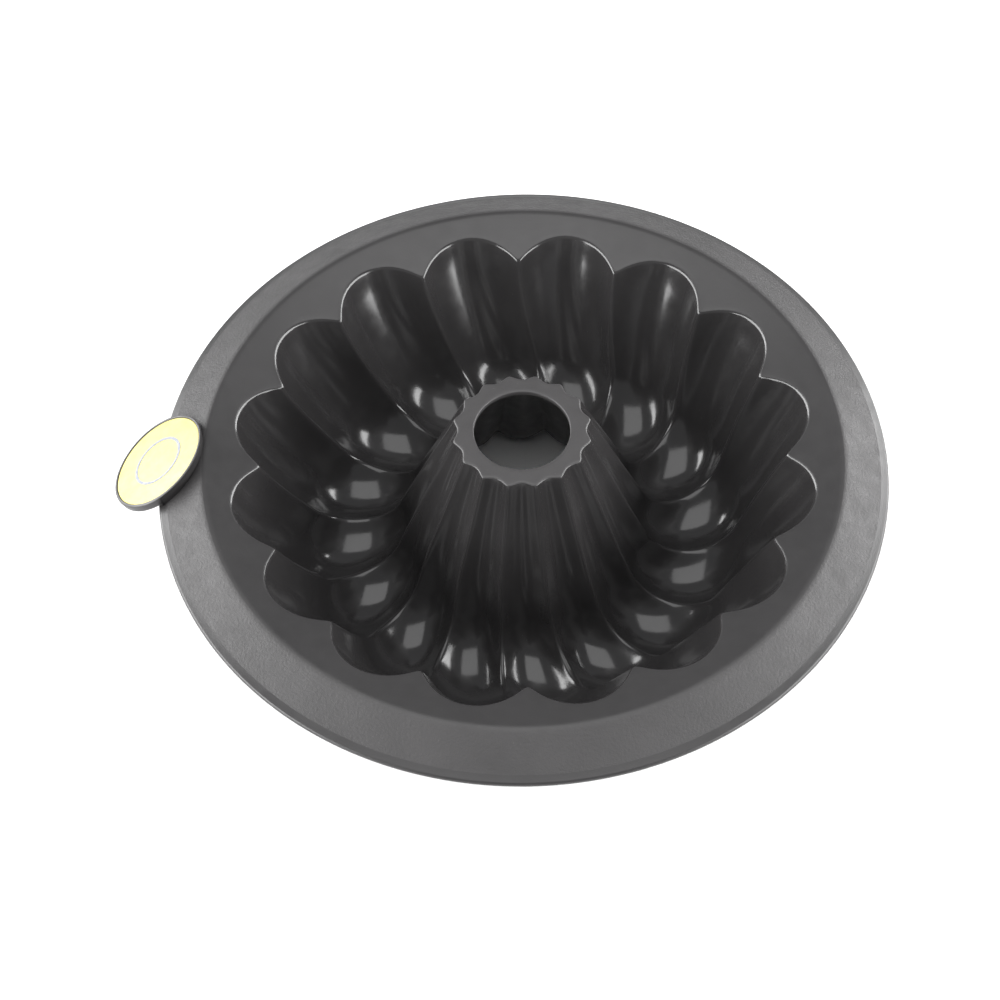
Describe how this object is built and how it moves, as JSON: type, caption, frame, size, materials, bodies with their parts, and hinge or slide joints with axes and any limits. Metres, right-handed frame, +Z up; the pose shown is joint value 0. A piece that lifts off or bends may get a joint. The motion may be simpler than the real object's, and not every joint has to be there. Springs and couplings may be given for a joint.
{
  "type": "bundt pan",
  "caption": "Flexible silicone ring-cake pan with twisted flutes, an open centre tube, a sloping rim flange and a round grip tab.",
  "frame": {"origin": "on the centre tube's axis, at the level the pan stands on", "axes": "+Z up out of the open mouth, along the tube's axis; the grip tab points towards -X"},
  "size_m": [0.2917, 0.2736, 0.0755],
  "materials": {
    "pan_silicone": "glossy inside, matte grained flange",
    "badge_silicone": "satin",
    "badge_print": "printed ink"
  },
  "bodies": {
    "root": {"outer_flange": "pan_silicone", "fluted_bowl": "pan_silicone", "centre_tube": "pan_silicone", "grip_tab": "pan_silicone", "tab_badge": "badge_silicone", "badge_ring": "badge_print"}
  },
  "joints": []
}
